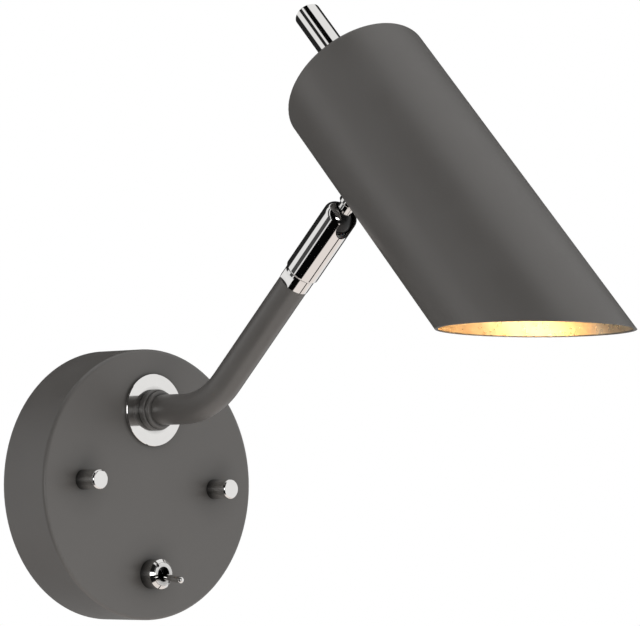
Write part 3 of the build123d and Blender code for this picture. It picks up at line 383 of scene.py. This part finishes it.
def white_ceramic(g):
    point = g.place()
    cloud = g.noise(point, scale=90.0)
    pits = g.noise(point, scale=1300.0, rough=0.6)
    colour = g.mix(cloud, rgb(0.72, 0.70, 0.65), rgb(0.80, 0.79, 0.75))
    colour = g.mix(g.spread(pits, 0.66, 0.76, 0.0, 0.35), colour, rgb(0.52, 0.49, 0.44))
    roughness = g.spread(pits, 0.3, 0.7, 0.62, 0.78)
    return g.surface(colour, roughness, g.bump(pits, strength=0.3, distance=0.06 * MM))


def silvered_glass(g):
    point = g.place()
    cloud = g.noise(point, scale=160.0)
    facets = g.cells(point, scale=340.0).outputs["Distance"]
    colour = g.mix(cloud, rgb(0.74, 0.74, 0.73), rgb(0.84, 0.84, 0.82))
    roughness = g.spread(cloud, 0.3, 0.7, 0.08, 0.18)
    normal = g.bump(facets, strength=0.35, distance=0.3 * MM)
    return g.surface(colour, roughness, normal, Metallic=0.95)


def warm_glow(g, point, middle, rim):
    """Strength of the lamp's light: middle on the beam's axis, falling to rim away from it."""
    from_foot = g.vector("SUBTRACT", point, tuple(SHADE_FOOT))
    return g.spread(g.off_beam(from_foot), 4 * MM, 18 * MM, middle, rim)


def clear_glass(g):
    point = g.place()
    ribs = g.cells(point, scale=420.0).outputs["Distance"]
    cloud = g.noise(point, scale=200.0)
    return g.surface(
        g.mix(cloud, rgb(0.90, 0.89, 0.86), rgb(0.97, 0.96, 0.94)),
        g.spread(ribs, 0.0, 0.6, 0.10, 0.22),
        g.bump(ribs, strength=0.4, distance=0.3 * MM),
        Transmission_Weight=0.55,
        IOR=1.5,
        Emission_Color=rgb(1.0, 0.86, 0.66),
        Emission_Strength=warm_glow(g, point, middle=13.0, rim=0.4),
    )


def frosted_glass(g):
    point = g.place()
    grain = g.noise(point, scale=1500.0, detail=2.0)
    return g.surface(
        g.mix(grain, rgb(0.92, 0.86, 0.74), rgb(0.98, 0.94, 0.86)),
        g.spread(grain, 0.3, 0.7, 0.4, 0.6),
        g.bump(grain, strength=0.3, distance=0.05 * MM),
        Emission_Color=rgb(1.0, 0.87, 0.70),
        Emission_Strength=warm_glow(g, point, middle=10.0, rim=3.0),
    )


def wire_cover(g):
    """Heat-proof braided sleeving, brown or blue for each wire."""
    point = g.place()
    pick = g.add("ShaderNodeNewGeometry").outputs["Random Per Island"]
    braid = g.cells(point, scale=2300.0).outputs["Distance"]
    brown = rgb(0.16, 0.065, 0.03)
    blue = rgb(0.035, 0.10, 0.32)
    colour = g.mix(g.math("GREATER_THAN", pick, 0.5), brown, blue)
    colour = g.mix(g.spread(braid, 0.2, 0.8, 0.0, 0.3), colour, rgb(0.55, 0.52, 0.46))
    roughness = g.spread(braid, 0.0, 0.8, 0.42, 0.58)
    return g.surface(colour, roughness, g.bump(braid, strength=0.3, distance=0.06 * MM))


MAKERS = (
    powder_grey,
    shade_coat,
    polished_chrome,
    painted_shade_chrome,
    ball_chrome,
    zinc_steel,
    spring_steel,
    plain_brass,
    white_nylon,
    switch_red,
    white_ceramic,
    silvered_glass,
    clear_glass,
    frosted_glass,
    wire_cover,
)

OWN_LOOK = {
    "ball_stem": "ball_chrome",
    "cap_nuts": "painted_shade_chrome",
    "switch_dress_nut": "painted_shade_chrome",
    "toggle_lever": "painted_shade_chrome",
}


def make_material(name):
    material = bpy.data.materials.new(name)
    return material, Graph(material)


def make_looks():
    made = {}
    for maker in MAKERS:
        material, g = make_material(maker.__name__)
        g.finish(maker(g))
        made[maker.__name__] = material
    return made


looks = make_looks()
for subpart in frame["record"]["subparts"]:
    name = subpart["node"]
    look = OWN_LOOK.get(name, subpart["material_slot"])
    for material_slot in nodes[name].material_slots:
        material_slot.link = "OBJECT"
        material_slot.material = looks[look]

# studio

FLOOR_HEIGHT = -0.30
FLOOR_HALF = 40.0
SKY_LEVEL = 0.845
SKY_LEAN = (-0.05, -0.06, 0.12)
LOW_LIGHT_PLACE = Vector((-0.10, -0.30, -0.22))
LOW_LIGHT_AIM = Vector((0.0, -0.05, 0.0))
LOW_LIGHT_SIZE = 0.25
LOW_LIGHT_POWER = 0.095
LOW_LIGHT_SPREAD = 75
DOME_RADIUS = 8.0
DOME_SEGMENTS = 48
DOME_RINGS = 24
DOME_LEVEL = 0.95


def make_floor():
    half = FLOOR_HALF
    corners = [(-half, -half), (half, -half), (half, half), (-half, half)]
    mesh = bpy.data.meshes.new("floor")
    mesh.from_pydata([(x, y, FLOOR_HEIGHT) for x, y in corners], [], [range(len(corners))])
    sheet = bpy.data.objects.new("floor", mesh)
    scene.collection.objects.link(sheet)
    sheet.visible_glossy = False
    material, g = make_material("floor")
    cloud = g.noise(g.place(), scale=2.0)
    g.finish(g.surface(g.mix(cloud, tone(0.86), tone(0.88)), roughness=0.9))
    mesh.materials.append(material)


def make_world():
    """White behind the lamp, and a nearly even light from all round for its matte faces."""
    world = bpy.data.worlds.new("studio")
    scene.world = world
    g = Graph(world)
    direction = g.add("ShaderNodeTexCoord").outputs["Generated"]
    lean = g.vector("DOT_PRODUCT", direction, SKY_LEAN, output="Value")
    level = g.math("ADD", lean, SKY_LEVEL)
    seen = g.add("ShaderNodeLightPath").outputs["Is Camera Ray"]
    light = g.add("ShaderNodeBackground", g.mix(seen, level, tone(1.0)), 1.0)
    g.finish(light, "ShaderNodeOutputWorld")


def make_low_light():
    """A soft light low in front, on the box's face and the undersides of the arm and shade."""
    data = bpy.data.lights.new("low_light", "AREA")
    data.shape = "DISK"
    data.size = LOW_LIGHT_SIZE
    data.energy = LOW_LIGHT_POWER
    data.spread = math.radians(LOW_LIGHT_SPREAD)
    light = bpy.data.objects.new("low_light", data)
    turn = (LOW_LIGHT_AIM - LOW_LIGHT_PLACE).to_track_quat("-Z", "Y").to_matrix().to_4x4()
    light.matrix_world = Matrix.Translation(LOW_LIGHT_PLACE) @ turn
    light.visible_camera = False
    light.visible_glossy = False
    scene.collection.objects.link(light)


def dome_light(g):
    """Bright all round, with dark flags, a grey card, a warm table and one key light."""
    point = g.vector("NORMALIZE", g.place())
    parts = g.add("ShaderNodeSeparateXYZ", point)
    heading = g.math("ARCTAN2", parts.outputs[1], parts.outputs[0])
    heading = g.math("MULTIPLY", heading, DEGREES_PER_RADIAN)
    height = g.math("ARCSINE", parts.outputs[2])
    height = g.math("MULTIPLY", height, DEGREES_PER_RADIAN)

    def panel(behind, shade, headings, heights, soft=1.0):
        sideways = g.band(heading, *headings, soft)
        upright = g.band(height, *heights, soft)
        return g.mix(g.math("MULTIPLY", sideways, upright), behind, shade)

    # table below, warm, with one thin joint
    light = g.mix(g.spread(height, -22, -40), tone(DOME_LEVEL), rgb(0.95, 0.88, 0.84))
    light = panel(light, tone(0.0), headings=(-31, -21), heights=(-75, -45), soft=0.5)
    # right side and the wall side
    light = panel(light, tone(0.02), headings=(12, 120), heights=(-17, 58), soft=2.0)
    light = panel(light, tone(0.35), headings=(50, 120), heights=(-62, -12), soft=4.0)
    light = panel(light, tone(0.07), headings=(146, 164), heights=(-60, 5))
    light = panel(light, tone(0.02), headings=(146, 160), heights=(5, 62))
    light = panel(light, tone(0.002), headings=(169, 185), heights=(-62, 75))
    light = panel(light, tone(0.002), headings=(-185, -140), heights=(-62, 75))
    # left front, dark but for the key light
    light = panel(light, tone(0.01), headings=(-142, -100), heights=(-48, 55), soft=3.0)
    light = panel(light, tone(4.0), headings=(-145, -123), heights=(-9, 8), soft=2.0)
    return g.add("ShaderNodeEmission", light, 1.0)


def make_dome():
    """Soft boxes and dark flags round the lamp, which only its glossy faces see."""
    bpy.ops.mesh.primitive_uv_sphere_add(
        segments=DOME_SEGMENTS, ring_count=DOME_RINGS, radius=DOME_RADIUS
    )
    dome = bpy.context.object
    dome.name = "dome"
    for ray in ("camera", "diffuse", "transmission", "volume_scatter", "shadow"):
        setattr(dome, "visible_" + ray, False)
    material, g = make_material("dome")
    g.finish(dome_light(g))
    material.cycles.emission_sampling = "NONE"
    dome.data.materials.append(material)


make_floor()
make_world()
make_low_light()
make_dome()
